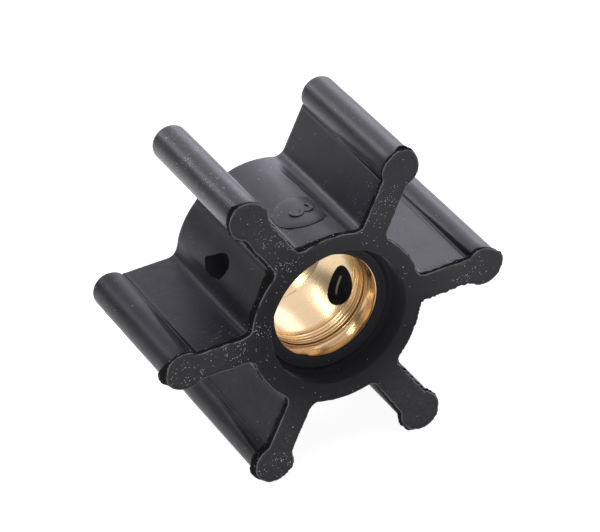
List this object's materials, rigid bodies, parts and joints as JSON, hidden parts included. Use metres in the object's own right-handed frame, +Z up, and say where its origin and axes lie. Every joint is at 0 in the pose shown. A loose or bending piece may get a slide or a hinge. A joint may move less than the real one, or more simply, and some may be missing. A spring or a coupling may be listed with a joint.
{
  "type": "rubber pump impeller",
  "caption": "Flexible rubber pump impeller with beaded blades on a bonded brass insert, with a recessed shaft bore and a cross screw hole.",
  "frame": {"origin": "on the shaft axis at mid-width", "axes": "+Y along the shaft, away from the front face that carries the parting-line lip; +Z up, with the impeller lying on its two lowest blade tips; one blade points along +X"},
  "size_m": [0.0412, 0.0192, 0.0364],
  "materials": {
    "rubber": "satin charcoal moulded nitrile rubber",
    "brass": "turned and reamed, bright, with machining rings near the mouth"
  },
  "bodies": {
    "root": {"rubber_impeller": "rubber", "brass_insert": "brass"}
  },
  "joints": []
}
